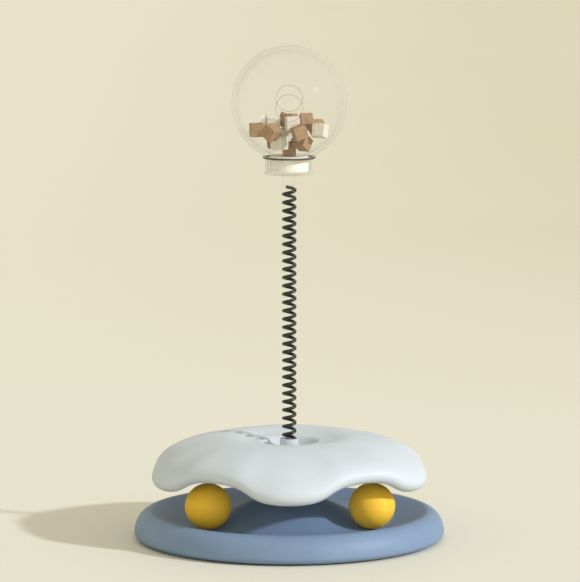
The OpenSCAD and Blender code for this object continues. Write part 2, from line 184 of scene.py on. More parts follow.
class SpringSizes(bpy.types.PropertyGroup):
    """Coil spring and the socket that holds its foot."""

    coil_r: length("Coil radius", "Radius of the coil at the middle of the wire", 0.00445)
    wire_d: length("Wire", "Diameter of the wire", 0.0026)
    pitch: length("Pitch", "Rise of one turn", 0.00645)
    low_z: length("Foot", "Height of the spring's lower end", LOW["spring"].z)
    high_z: length("Head", "Height of the spring's upper end", HIGH["spring"].z)
    points_per_turn: count("Points per turn", "Points of the wire's middle line on one turn", 28)
    wire_sides: count("Wire sides", "Points round the wire", 12)
    socket_r: length("Socket radius", "Outer radius of the socket", 0.0072)
    socket_bore_r: length("Socket bore", "Radius of the socket's bore", 0.0059)
    socket_low_z: length("Socket foot", "Height of the socket's lower end", LOW["spring_socket"].z)
    socket_z: length("Socket mouth", "Height of the socket's mouth", HIGH["spring_socket"].z)
    flange_r: length("Flange radius", "Radius of the socket's flange", 0.0104)
    flange_z: length("Flange height", "Height of the flange's underside", 0.068)
    flange_t: length("Flange", "Thickness of the flange", 0.002)


class GlobeSizes(bpy.types.PropertyGroup):
    """Clear globe with its neck, and the cap, liner and seal under it."""

    radius: length("Radius", "Outer radius of the globe", 0.0445)
    wall: length("Wall", "Wall of the globe", 0.003)
    hole_r: length("Hole radius", "Radius of a treat hole", 0.010)
    hole_round: length("Hole rounding", "Rounding of a treat hole's edges", 0.0006)
    neck_r: length("Neck radius", "Outer radius of the neck", 0.017)
    mouth_r: length("Mouth radius", "Inner radius of the neck", 0.0148)
    neck_low_z: length("Neck foot", "Height of the neck's lower end", LOW["globe"].z)
    collar_r: length("Collar radius", "Radius of the neck's collar", 0.0202)
    collar_t: length("Collar", "Thickness of the neck's collar", 0.0015)
    collar_z: length("Collar height", "Height of the collar's underside", 0.29702)
    cap_r: length("Cap radius", "Outer radius of the cap", HIGH["globe_cap"].x)
    cap_bore_r: length("Cap bore", "Inner radius of the cap", 0.01715)
    cap_z: length("Cap height", "Height of the cap's underside", 0.2838)
    cap_floor: length("Cap floor", "Thickness of the cap's floor", 0.002)
    stem_r: length("Stem radius", "Radius of the stem under the cap", 0.005)
    peg_r: length("Peg radius", "Radius of the peg in the spring", 0.0026)
    liner_wall: length("Liner wall", "Wall of the liner in the cap", 0.0014)


class TreatSizes(bpy.types.PropertyGroup):
    """Treat cubes and their places in the globe."""

    side: length("Side", "Side of a treat", 0.0105)
    gap: length("Gap", "Gap between two treats", 0.0003)
    edge: length("Edge", "Rounding of a treat's edges", 0.0007)
    crumble: length("Crumble", "Depth to which a treat's faces are eaten away", 0.00035)
    cells: count("Cells", "Points along a treat's side", 15)
    lower_turn: turn("Lower turn", "Turn of the first treat of the lower ring", -36)
    outer_turn: turn("Outer turn", "Turn of the first treat of the outer ring", -85)
    upper_turn: turn("Upper turn", "Turn of the first treat of the upper ring", 10)
    stack_twist: turn("Stack twist", "Turn of each treat of the stack on the one below", 35)
    roll: turn("Roll", "How much further each treat of a ring is rolled than the one before", 35)
    stack_kinds: StringProperty(name="Stack", description="Treats of the stack, b brown and p pale",
                                default="bpb")
    lower_kinds: StringProperty(name="Lower ring", description="Treats of the lower ring", default="pbpb")
    outer_kinds: StringProperty(name="Outer ring", description="Treats of the outer ring", default="bbbpbpp")
    upper_kinds: StringProperty(name="Upper ring", description="Treats of the upper ring", default="pbbp")


class Finishes(bpy.types.PropertyGroup):
    """Colours of the toy."""

    tray: colour("Tray", "Blue of the tray", (121, 143, 169))
    tray_tone: colour("Tray tone", "Second blue that clouds the first", (116, 138, 165))
    cover: colour("Cover", "Pale blue of the cover", (203, 210, 213))
    cover_tone: colour("Cover tone", "Second pale blue that clouds the first", (199, 206, 210))
    ball: colour("Balls", "Yellow of the balls", (252, 202, 62))
    ball_tone: colour("Ball tone", "Second yellow that clouds the first", (249, 197, 56))
    wire: colour("Wire", "Black of the spring", (20, 18, 15))
    wire_tone: colour("Wire tone", "Grey where the black is thin", (34, 31, 26))
    rubber: colour("Rubber", "Black of the feet", (40, 39, 36))
    rubber_tone: colour("Rubber tone", "Dust on the rubber", (58, 57, 54))
    seal: colour("Seal", "Dark grey of the seal", (62, 58, 48))
    seal_tone: colour("Seal tone", "Lighter grey that clouds the seal", (84, 79, 66))
    steel: colour("Steel", "Grey of the screws", (190, 190, 188))
    nut: colour("Nut", "White of the nut", (226, 226, 222))
    clear: colour("Clear plastic", "Tint of the clear plastic", (255, 255, 255))
    # Painted shade: the clear skin's grey darkens the walls seen along their face, in place of refraction's
    # darker outline.
    clear_skin_painted_shade: colour("Clear plastic's edge", "Tone of the clear plastic seen along its face",
                       (206, 202, 191))
    # Painted shade: the dark tone laid on the rims of the treat holes and on the cap's lower edge, in place
    # of refraction's dark lines.
    clear_rim_painted_shade: colour("Clear depth", "Clear plastic seen through its depth, at its edges", (126, 120, 100))
    liner: colour("Liner", "Cream of the milky liner", (250, 244, 230))
    liner_tone: colour("Liner tone", "Second cream that clouds the first", (246, 239, 222))
    # The second colour of each treat is painted shade, laid in its pores.
    treat_brown: colour("Brown treat", "Brown of a dried treat", (168, 136, 100))
    treat_brown_pore_shade: colour("Brown treat pores", "Brown of its pores", (116, 86, 57))
    treat_pale: colour("Pale treat", "Cream of a dried treat", (222, 215, 196))
    treat_pale_pore_shade: colour("Pale treat pores", "Grey of its pores", (168, 158, 136))


class StageLook(bpy.types.PropertyGroup):
    """Camera, lights and floor."""

    distance: length("Camera distance", "Distance of the camera in front of the spring", 3.4)
    height: length("Camera height", "Height of the camera", 0.6436)
    aim_z: length("Aim", "Height on the spring's axis at which the camera looks", 0.1929)
    focal_pixels: number("Focal length", "Focal length in pixels of the picture", 4452.0)
    shift_pixels: number("Shift", "How far the axis lies left of the picture's middle, in pixels", 0.75)
    sun_power: number("Sun", "Strength of the key light", 2.8)
    sun_spread: turn("Sun spread", "Angle that the key light spans", 3.0)
    sun_turn: turn("Sun turn", "Turn of the key light from the right towards the camera", 26)
    sun_rise: turn("Sun rise", "Height of the key light above the horizon", 27)
    sun_colour: colour("Sun colour", "Colour of the key light", (231, 236, 250))
    fill_power: number("Fill", "Strength of the soft light from the front", 0.5)
    fill_spread: turn("Fill spread", "Angle that the soft light from the front spans", 50.0)
    fill_rise: turn("Fill rise", "Height of the soft light from the front above the horizon", 6)
    fill_colour: colour("Fill colour", "Colour of the soft light from the front", (255, 253, 250))
    sky: colour("Sky", "Colour of the soft light from all round", (212, 209, 197))
    backdrop: colour("Backdrop", "Colour behind everything", (230, 224, 202))
    floor: colour("Floor", "Colour of the floor near the toy", (232, 227, 208))
    floor_far: colour("Far floor", "Colour of the floor further back", (231, 226, 203))
    floor_side: colour("Far floor, right", "Colour of the floor further back on the right", (218, 211, 184))
    floor_r: length("Floor radius", "Radius of the floor", 30.0)


# Points and meshes

def new_piece(name, points, faces, body=None, slot=None, replaces=None, look=None):
    """Adds a smooth mesh at the origin from an array of points and an array of faces, with its seams and
    poles welded and its faces outwards, and lets it ride on a body in place of its CAD node. Its look is that
    of its slot, unless another is given."""
    mesh = bpy.data.meshes.new(name)
    mesh.from_pydata(points.reshape(-1, 3).tolist(), [], faces.tolist())
    shell = bmesh.new()
    shell.from_mesh(mesh)
    bmesh.ops.remove_doubles(shell, verts=shell.verts, dist=WELD)
    bmesh.ops.recalc_face_normals(shell, faces=shell.faces)
    shell.to_mesh(mesh)
    shell.free()
    mesh.shade_smooth()
    mesh.materials.append(look or material(slot))
    piece = bpy.data.objects.new(name, mesh)
    bpy.context.scene.collection.objects.link(piece)
    if body:
        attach(piece, body)
    if replaces:
        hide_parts(replaces)
    return piece


def grid_faces(rows, columns, wrap_rows=True, wrap_columns=True):
    """Quads of a grid of points that runs row by row: each joins two neighbours to two of the next row."""
    i, j = np.meshgrid(np.arange(rows - (not wrap_rows)), np.arange(columns - (not wrap_columns)),
                       indexing="ij")
    k, m = (i + 1) % rows, (j + 1) % columns
    return np.stack([i * columns + j, i * columns + m, k * columns + m, k * columns + j], -1).reshape(-1, 4)


def copies(points, faces):
    """Faces of several grids of points [copy, ...], each with the same faces."""
    per_copy = points[0].size // 3
    return (faces[None] + per_copy * np.arange(len(points))[:, None, None]).reshape(-1, faces.shape[1])


def arc(centre, a, b, start, end, steps):
    """Points of an ellipse about a centre with half-axes a and b, between two angles in degrees from +r."""
    t = np.radians(np.linspace(start, end, steps))
    return np.stack([centre[0] + a * np.cos(t), centre[1] + b * np.sin(t)], -1)


def bend(start, corner, end, steps=7):
    """Points of the curve that leaves start towards a corner and comes into end from it: a parabola."""
    start, corner, end = (np.array(p, float) for p in (start, corner, end))
    t = np.linspace(0, 1, steps)[:, None]
    return (1 - t) ** 2 * start + 2 * t * (1 - t) * corner + t ** 2 * end


def soft_line(corners, reach, closed=False, most=0.45):
    """Line through corners, each rounded by a bend that starts and ends at reach from it, or nearer where
    that is more than the most that it may take of a side. An open line keeps its two ends."""
    corners = np.array(corners, float)
    to_before, to_after = np.roll(corners, 1, 0) - corners, np.roll(corners, -1, 0) - corners
    before_len, after_len = (np.linalg.norm(v, axis=1)[:, None] for v in (to_before, to_after))
    near = np.minimum(reach, most * np.minimum(before_len, after_len))
    starts, ends = corners + to_before / before_len * near, corners + to_after / after_len * near
    bends = [bend(s, c, e) for s, c, e in zip(starts, corners, ends)]
    if closed:
        return np.concatenate(bends)
    return np.concatenate([corners[:1], *bends[1:-1], corners[-1:]])


def finer(line, step=SECTION_STEP):
    """Open line with each of its sides cut into equal parts no longer than step."""
    sides = line[1:] - line[:-1]
    parts = np.maximum(np.ceil(np.linalg.norm(sides, axis=1) / step - WELD), 1).astype(int)
    side = np.repeat(np.arange(len(parts)), parts)
    t = (np.arange(len(side)) - np.repeat(np.cumsum(parts) - parts, parts)) / parts[side]
    return np.concatenate([line[side] + t[:, None] * sides[side], line[-1:]])


def full_turn(n):
    """Column of n equal steps of one turn."""
    return 2 * np.pi * np.arange(n)[:, None] / n


def turned(line, segments):
    """Points of a line of [radius, height] turned about the spring's axis, as [segment, point, xyz]. The
    first segment is in front."""
    a = full_turn(segments)
    r, z = line.T
    return np.stack([np.sin(a) * r, -np.cos(a) * r, np.broadcast_to(z, (segments, len(z)))], -1)


def turned_piece(name, line, segments=128, closed=False, **placing):
    """Piece turned about the spring's axis from a line that is closed, or open with both ends on the axis."""
    points = turned(line, segments)
    return new_piece(name, points, grid_faces(segments, len(line), wrap_columns=closed), **placing)


def about(axis, angle):
    """Matrices that turn points about an axis, Y or Z, for an array of angles."""
    c, s = np.cos(angle), np.sin(angle)
    i, j = (axis + 1) % 3, (axis + 2) % 3
    matrices = np.zeros((*np.shape(angle), 3, 3))
    matrices[..., axis, axis] = 1
    matrices[..., i, i] = matrices[..., j, j] = c
    matrices[..., i, j], matrices[..., j, i] = -s, s
    return matrices


# Tray and its fittings

def tray_height(s, r):
    """Height of the tray's upper face at a radius: half a cosine wave falls from the dome into the track, and
    a quarter wave rises from the track to the lip."""
    lip_r = s.rim_r - s.rim_w
    fall = np.pi * (r - s.column_r) / (s.track_r - s.column_r)
    rise = np.pi / 2 * (r - s.track_r) / (lip_r - s.track_r)
    dome = s.track_z + (s.dome_z - s.track_z) * (1 + np.cos(fall)) / 2
    bank = s.track_z + (s.lip_z - s.track_z) * (1 - np.cos(rise))
    return np.where(r < s.track_r, dome, bank)


def tray_line(s):
    """Closed section of the tray: column, dome, track, lip, rolled rim, and the same inside at the wall's
    thickness."""
    lip_r, skirt_r = s.rim_r - s.rim_w, s.rim_r - s.tuck - s.wall
    plate_top = HIGH["bottom_plate"].z
    foot_bend, top_round = 0.003, 0.0008
    r = np.linspace(s.column_r + foot_bend, lip_r - s.lip_round, 110)
    upper = np.stack([r, tray_height(s, r)], -1)
    rim = arc((lip_r, s.belly_z), s.rim_w, s.lip_z - s.belly_z, 90 - np.degrees(s.lip_round / s.rim_w), 0,
              steps=48)
    tuck = arc((s.rim_r - s.tuck, s.belly_z), s.tuck, s.belly_z - s.ground_gap, 0, -90, steps=18)[1:]
    inner_rim = arc((lip_r, s.belly_z), s.rim_w - s.wall, s.lip_z - s.belly_z - s.wall, 0, 80, steps=16)
    back = np.linspace(lip_r - s.wall, s.column_r, 60)
    lower = np.stack([back, tray_height(s, back) - s.wall], -1)
    in_r, under = s.column_r - s.wall, s.column_z - s.column_plate
    return np.concatenate([
        [[s.bore_r, s.column_z]],
        bend((s.column_r - top_round, s.column_z), (s.column_r, s.column_z),
             (s.column_r, s.column_z - top_round)),
        bend((s.column_r, s.dome_z + foot_bend), (s.column_r, s.dome_z), upper[0])[:-1],
        upper[:-1],
        bend(upper[-1], (lip_r, s.lip_z), rim[0]),
        rim[1:], tuck,
        [[skirt_r, s.ground_gap], [skirt_r, plate_top]],
        inner_rim, lower,
        [[in_r, s.dome_z - s.wall], [in_r, under], [s.bore_r, under]],
    ])


class TOY_OT_tray(bpy.types.Operator):
    """Turn the tray from its section"""

    bl_idname = "toy.tray"
    bl_label = "Tray"

    def execute(self, context):
        turned_piece("tray_shell", tray_line(context.scene.toy_tray), segments=224, closed=True,
                     body="base", slot="tray_blue", replaces="tray")
        return {"FINISHED"}


def ring_places(points, ring_r, first_turn, n):
    """Copies of a shape at n places on a circle, the first at a turn from the front."""
    turns = first_turn + 2 * np.pi * np.arange(n) / n
    moved = points + np.array([0, -ring_r, 0])
    return np.einsum("nij,...j->n...i", about(Z, turns), moved)


def screw_head(s, segments=48, rings=22, recess_share=0.75):
    """Countersunk screw as a grid: a flat head with a cross sunk into it, its cone, and the shank. On the
    head a point goes up by the recess depth where it lies near enough to either axis of the cross."""
    low, high = LOW["plate_screws"].z, HIGH["plate_screws"].z
    head_r = 2 * s.screw_r
    r = np.concatenate([np.linspace(0, head_r, rings), [s.screw_r, s.screw_r, 0]])
    z = np.concatenate([np.full(rings, low), [low + head_r - s.screw_r, high, high]])
    a = full_turn(segments)
    x, y = np.cos(a) * r, np.sin(a) * r
    cross = np.minimum(np.abs(x), np.abs(y)) < s.recess_w / 2
    sunk = cross & (r < recess_share * head_r) & (np.arange(len(r)) < rings)
    return np.stack([x, y, z + np.where(sunk, s.recess_depth, 0)], -1)


class TOY_OT_base_fittings(bpy.types.Operator):
    """Make the screws and rubber feet, and finish the bottom plate and the lock nut"""

    bl_idname = "toy.base_fittings"
    bl_label = "Screws, feet, plate and nut"

    def execute(self, context):
        s = context.scene.toy_tray
        n = context.scene.toy_cover.lobes
        top = HIGH["rubber_feet"].z
        pad = finer(soft_line([[0, 0], [s.foot_r, 0], [s.foot_r, top], [0, top]], top / 3), s.foot_r / 8)
        sets = (("plate_screw_set", screw_head(s), s.screw_ring_r, np.pi / n, "screw_steel", "plate_screws"),
                ("rubber_foot_set", turned(pad, segments=48), s.foot_ring_r, 0, "foot_rubber", "rubber_feet"))
        for name, one, ring_r, first_turn, slot, node in sets:
            points = ring_places(one, ring_r, first_turn, n)
            faces = copies(points, grid_faces(*one.shape[:2], wrap_columns=False))
            new_piece(name, points, faces, body="base", slot=slot, replaces=node)

        for node, slot in (("bottom_plate", "tray_blue"), ("lock_nut", "nut_white")):
            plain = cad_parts[node].data.materials
            plain.clear()
            plain.append(material(slot))
        return {"FINISHED"}


# Balls

def ball_points(s, centre, lean, rings=96, segments=128):
    """Ball as a grid of latitude and longitude whose radius dips by a bell curve at the weld line on its
    equator, leaned about +Y and moved to its centre."""
    t = np.pi * np.arange(rings + 1) / rings
    a = full_turn(segments)
    r = s.radius - s.seam_depth * np.exp(-(((t - np.pi / 2) * s.radius) / s.seam_w) ** 2)
    out, up = r * np.sin(t), np.broadcast_to(r * np.cos(t), (segments, rings + 1))
    points = np.stack([out * np.cos(a), out * np.sin(a), up], -1)
    return points @ about(Y, np.array(lean)).T + np.array(centre)


class TOY_OT_balls(bpy.types.Operator):
    """Make the two track balls"""

    bl_idname = "toy.balls"
    bl_label = "Balls"

    def execute(self, context):
        s = context.scene.toy_balls
        for side, lean in (("left", s.left_lean), ("right", s.right_lean)):
            node = f"ball_{side}"
            points = ball_points(s, (LOW[node] + HIGH[node]) / 2, lean)
            new_piece(f"{node}_shell", points, grid_faces(*points.shape[:2], wrap_columns=False),
                      body=f"{side}_ball", slot="ball_yellow", replaces=node)
        return {"FINISHED"}


# Cover

def cover_belly(s, a):
    """Radius and height of the cover's widest line at turns from the front. A cosine wave swells the lobes,
    and the same wave with flatter crests and steeper sides hangs them low."""
    wave = np.cos(s.lobes * a)
    edge = wave / np.sqrt(wave ** 2 + s.edge_round ** 2 * (1 - wave ** 2))
    return s.widest_r + s.lobe_swell * wave, s.edge_z - s.edge_wave * edge + s.roll_h


def shoulder_line(s, belly_r, belly_z, top, t):
    """Squared quarter ellipse from the crest, at t = 0, down to the widest line, at t = 90 degrees."""
    power = 2 / s.shoulder
    return np.stack([s.crest_r + (belly_r - s.crest_r) * np.sin(t) ** power,
                     belly_z + (top - belly_z) * np.maximum(np.cos(t), 0) ** power], -1)


def roll_line(s, belly_r, belly_z, depth, t):
    """Ellipse that rolls the wall in under its widest line, at a depth in the wall and at turns below
    level."""
    drop = (s.roll_h - s.wall / 2) / np.sin(s.roll_turn) + s.wall / 2
    return np.stack([belly_r - s.roll_in + (s.roll_in - depth) * np.cos(t),
                     belly_z - (drop - depth) * np.sin(t)], -1)


def dish_height(s, r):
    """Height of the cover inside its crest at a radius: half a cosine wave falls gently from the crest to the
    dish's rim, and another from there to the dish's floor."""
    top = np.clip((s.crest_r - r) / (s.crest_r - s.dish_rim_r), 0, 1)
    dish = np.clip((s.dish_rim_r - r) / (s.dish_rim_r - s.dish_r), 0, 1)
    return (s.dish_z + (s.crest_z - s.dish_rim_z) * (1 + np.cos(np.pi * top)) / 2
            + (s.dish_rim_z - s.dish_z) * (1 + np.cos(np.pi * dish)) / 2)


def cover_points(s, turns=320):
    """Cover as a grid [turn, section point, xyz]: dish, crest, shoulder, rolled wall with a round edge, the
    same inside, and the sleeve on the column."""
    a = full_turn(turns)
    belly = cover_belly(s, a)
    lip = s.wall / 2
    t = np.radians(np.linspace(0, 90, 60))
    roll_t = np.linspace(0, s.roll_turn, 16)[1:]
    round_t = s.roll_turn + np.radians(np.linspace(20, 160, 8))
    floor = np.linspace(s.bore_r, s.dish_r, 5)[:-1]
    top = np.concatenate([np.linspace(s.dish_r, s.dish_rim_r, 32),
                          np.linspace(s.dish_rim_r, s.crest_r, 20)[1:-1]])
    under = np.concatenate([np.linspace(s.crest_r, s.dish_rim_r, 16)[1:-1],
                            np.linspace(s.dish_rim_r, s.sleeve_out_r, 16)])
    sleeve_top, sleeve_low = s.dish_z - s.wall, HIGH["tray"].z
    steady = np.concatenate([
        np.stack([floor, np.full(len(floor), s.dish_z)], -1),
        np.stack([top, dish_height(s, top)], -1),
    ])
    below = np.concatenate([
        np.stack([under, dish_height(s, under) - s.wall], -1),
        [[s.sleeve_out_r, sleeve_low], [s.sleeve_in_r, sleeve_low]],
        [[s.sleeve_in_r, sleeve_top], [s.bore_r, sleeve_top]],
    ])
    edge_middle = roll_line(s, *belly, lip, np.array([s.roll_turn]))
    round_edge = edge_middle + lip * np.stack([np.cos(round_t), -np.sin(round_t)], -1)
    section = np.concatenate([
        np.broadcast_to(steady, (turns, *steady.shape)),
        shoulder_line(s, *belly, s.crest_z, t),
        roll_line(s, *belly, 0, roll_t),
        round_edge,
        roll_line(s, *belly, s.wall, roll_t[::-1]),
        shoulder_line(s, belly[0] - s.wall, belly[1], s.crest_z - s.wall, t[::-1]),
        np.broadcast_to(below, (turns, *below.shape)),
    ], 1)
    r, z = section[..., 0], section[..., 1]
    return np.stack([np.sin(a) * r, -np.cos(a) * r, z], -1)


class TOY_OT_cover(bpy.types.Operator):
    """Loft the scalloped cover"""

    bl_idname = "toy.cover"
    bl_label = "Cover"

    def execute(self, context):
        points = cover_points(context.scene.toy_cover)
        new_piece("cover_shell", points, grid_faces(*points.shape[:2]), body="base", slot="cover_pale",
                  replaces="cover")
        return {"FINISHED"}


# Spring and socket

def spring_path(s):
    """Middle line of the spring's wire. Unrolled, it is a straight end, a bend and a slope at the coil's
    pitch, as [length round, height], and it is wrapped on the coil's cylinder. The slope ends under the
    stem's shoulder."""
    slope = np.arctan(s.pitch / (2 * np.pi * s.coil_r))
    radius, rise = s.wire_d, s.wire_d * (1 + np.cos(slope))
    t = np.linspace(0, np.pi / 2 - slope, 10)[:-1]
    foot_z = s.low_z + rise
    climb = s.high_z - s.wire_d / 2 * np.cos(slope) - foot_z
    step = np.linspace(0, 1, int(climb / s.pitch * s.points_per_turn))
    start = radius * (1 - np.sin(slope))
    around = np.concatenate([[0], radius * (1 - np.cos(t)), start + climb / np.tan(slope) * step])
    height = np.concatenate([[s.low_z], s.low_z + s.wire_d + radius * np.sin(t), foot_z + climb * step])
    a = around / s.coil_r
    return np.stack([s.coil_r * np.cos(a), s.coil_r * np.sin(a), height], -1)


def wire_points(path, radius, sides):
    """Tube round a path as a grid [path point, side, xyz]. Each ring is square to the path, and one more ring
    of no radius closes each end."""
    along = np.gradient(path, axis=0)
    along /= np.linalg.norm(along, axis=1, keepdims=True)
    out = path * [1, 1, 0] / np.linalg.norm(path[:, :2], axis=1, keepdims=True)
    side = np.cross(along, out)
    side /= np.linalg.norm(side, axis=1, keepdims=True)
    face = np.cross(side, along)
    a = full_turn(sides)
    rings = path[:, None] + radius * (np.cos(a) * face[:, None] + np.sin(a) * side[:, None])
    ends = np.broadcast_to(path[[0, -1]][:, None], (2, sides, 3))
    return np.concatenate([ends[:1], rings, ends[1:]])


class TOY_OT_spring(bpy.types.Operator):
    """Wind the spring in a lower and an upper half, and turn its socket"""

    bl_idname = "toy.spring"
    bl_label = "Spring and socket"

    def execute(self, context):
        s = context.scene.toy_spring
        path = spring_path(s)
        middle_z = (s.socket_z + s.high_z) / 2
        cut = int(np.searchsorted(path[:, 2], middle_z))
        halves = (("spring_lower", path[: cut + 1], "base", "spring_middle", s.socket_z, middle_z),
                  ("spring_upper", path[cut:], "spring_middle", "globe_holder", middle_z, s.high_z))
        for name, part, below, above, start_z, end_z in halves:
            points = wire_points(part, s.wire_d / 2, s.wire_sides)
            faces = grid_faces(*points.shape[:2], wrap_rows=False)
            piece = new_piece(name, points, faces, slot="spring_black", replaces="spring")
            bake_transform(piece)

        flange_top = s.flange_z + s.flange_t
        line = soft_line([
            [0, s.socket_low_z], [s.socket_r, s.socket_low_z], [s.socket_r, s.flange_z],
            [s.flange_r, s.flange_z], [s.flange_r, flange_top], [s.socket_r, flange_top],
            [s.socket_r, s.socket_z], [s.socket_bore_r, s.socket_z], [s.socket_bore_r, s.low_z], [0, s.low_z],
        ], EDGE_ROUND)
        turned_piece("spring_socket_shell", finer(line), segments=96,
                     body="base", slot="cover_pale", replaces="spring_socket")
        return {"FINISHED"}


# Globe, cap, liner and seal

def paint_rim_shade(piece, chosen):
    """Gives the rims of a clear piece, where a ray has a long way through the wall, a darker skin: painted
    shade, in place of the dark lines that refraction draws there. chosen picks their faces from the middles
    of all faces."""
    faces = piece.data.polygons
    middles = np.empty(3 * len(faces))
    faces.foreach_get("center", middles)
    piece.data.materials.append(material("painted_shade_rim_clear"))
    faces.foreach_set("material_index", chosen(*middles.reshape(-1, 3).T).astype(np.int32))


def globe_loop(s, hole_turn=20, steps=72):
    """Closed line of the globe's wall as [distance from the hole axis, place along it], turned about the hole
    axis: the outer arc from the front hole to the back one, the back hole's round lip, the inner arc and the
    front lip. Outer and inner arc share a stretch of angles, which starts the line. Also gives where it
    begins on the inner arc, and the angle at each of its points."""
    inner = s.radius - s.wall
    shared = np.radians(np.linspace(hole_turn, 180 - hole_turn, steps + 1))

    def on_sphere(radius, t):
        return np.stack([radius * np.sin(t), -radius * np.cos(t)], -1)

    def to_hole(radius):
        first = np.arcsin((s.hole_r + s.hole_round) / radius)
        return np.linspace(first, shared[0], 7)[:-1]

    def lip(radius):
        return np.array([s.hole_r, -np.sqrt(radius ** 2 - s.hole_r ** 2)])

    outer_near, inner_near = on_sphere(s.radius, to_hole(s.radius)), on_sphere(inner, to_hole(inner))
    front = np.concatenate([
        inner_near[::-1],
        bend(inner_near[0], lip(inner), lip(inner) - [0, s.hole_round])[1:],
        bend(lip(s.radius) + [0, s.hole_round], lip(s.radius), outer_near[0])[:-1],
        outer_near,
    ])
    back = front[::-1] * [1, -1]
    outer, inside = on_sphere(s.radius, shared), on_sphere(inner, shared)[::-1]
    loop = np.concatenate([outer, back, inside, front])
    return loop, len(outer) + len(back), shared


def globe_points(s, centre_z, segments=160, patch_turn=36):
    """Points and faces of the clear globe in one closed skin.

    The wall is a grid turned about the hole axis. Under the globe, a square patch of it is left open on the
    outer and on the inner face. From each point of a patch's border a ray runs on the sphere, at the same
    turn about the spring's axis, to the circle where the neck begins. The neck's section joins the two
    circles at those turns."""
    loop, inner_at, shared = globe_loop(s)
    a = full_turn(segments)
    distance, along = loop.T
    wall = np.stack([np.sin(a) * distance, np.broadcast_to(along, (segments, len(loop))),
                     np.cos(a) * distance], -1)

    half_rows = segments * patch_turn // 360
    middle_row, middle = segments // 2, len(shared) // 2
    half_columns = int(np.radians(patch_turn) / (shared[1] - shared[0]))
    rows = np.arange(middle_row - half_rows, middle_row + half_rows + 1)
    columns = np.arange(middle - half_columns, middle + half_columns + 1)
    faces = grid_faces(segments, len(loop)).reshape(segments, len(loop), 4)
    kept = np.ones(faces.shape[:2], bool)
    mirrored = inner_at + len(shared) - 1 - columns
    kept[rows[0]:rows[-1], columns[0]:columns[-1]] = False
    kept[rows[0]:rows[-1], mirrored.min():mirrored.max()] = False

    block = wall[np.ix_(rows, columns)]
    border = np.concatenate([block[:-1, 0], block[-1, :-1], block[:0:-1, -1], block[0, :0:-1]])
    reach = np.linalg.norm(border[:, :2], axis=1, keepdims=True)
    turn_xy = border[:, :2] / reach

    inner = s.radius - s.wall
    t = np.linspace(0, 1, 12)
    outer_foot, inner_foot = s.collar_r + NECK_FLARE[0], s.mouth_r + NECK_FLARE[1]

    def rays(radius, border_reach, foot):
        r = border_reach + (foot - border_reach) * t
        return r, -np.sqrt(radius ** 2 - r ** 2)

    outer_r, outer_z = rays(s.radius, reach, outer_foot)
    inner_r, inner_z = rays(inner, reach * inner / s.radius, inner_foot)
    end = [inner_foot, inner_z[0, -1]]
    collar_low, neck_low = s.collar_z - centre_z, s.neck_low_z - centre_z
    neck = soft_line([
        [outer_foot, outer_z[0, -1]], [s.collar_r, collar_low + s.collar_t], [s.collar_r, collar_low],
        [s.neck_r, collar_low], [s.neck_r, neck_low], [s.mouth_r, neck_low], [s.mouth_r, end[1]], end,
    ], EDGE_ROUND)
    neck = finer(neck)[1:-1]
    neck_r, neck_z = (np.broadcast_to(line, (len(border), len(neck))) for line in neck.T)
    patch_r = np.concatenate([outer_r, neck_r, inner_r[:, ::-1]], 1)
    patch_z = np.concatenate([outer_z, neck_z, inner_z[:, ::-1]], 1)
    patch = np.stack([turn_xy[:, :1] * patch_r, turn_xy[:, 1:] * patch_r, patch_z], -1)

    points = np.concatenate([wall.reshape(-1, 3), patch.reshape(-1, 3)]) + [0, 0, centre_z]
    patch_faces = grid_faces(*patch.shape[:2], wrap_columns=False) + wall.size // 3
    return points, np.concatenate([faces[kept], patch_faces])


class TOY_OT_globe(bpy.types.Operator):
    """Make the clear globe with its treat holes and neck"""

    bl_idname = "toy.globe"
    bl_label = "Globe"

    def execute(self, context):
        s = context.scene.toy_globe
        centre_z = HIGH["globe"].z - s.radius
        points, faces = globe_points(s, centre_z)
        globe = new_piece("globe_shell", points, faces, body="treat_globe", slot="clear_plastic",
                          replaces="globe", look=material("globe_clear"))
        # The rims of the treat holes get painted shade.
        paint_rim_shade(globe, lambda x, y, z: np.hypot(x, z - centre_z) < s.hole_r + s.hole_round)
        return {"FINISHED"}


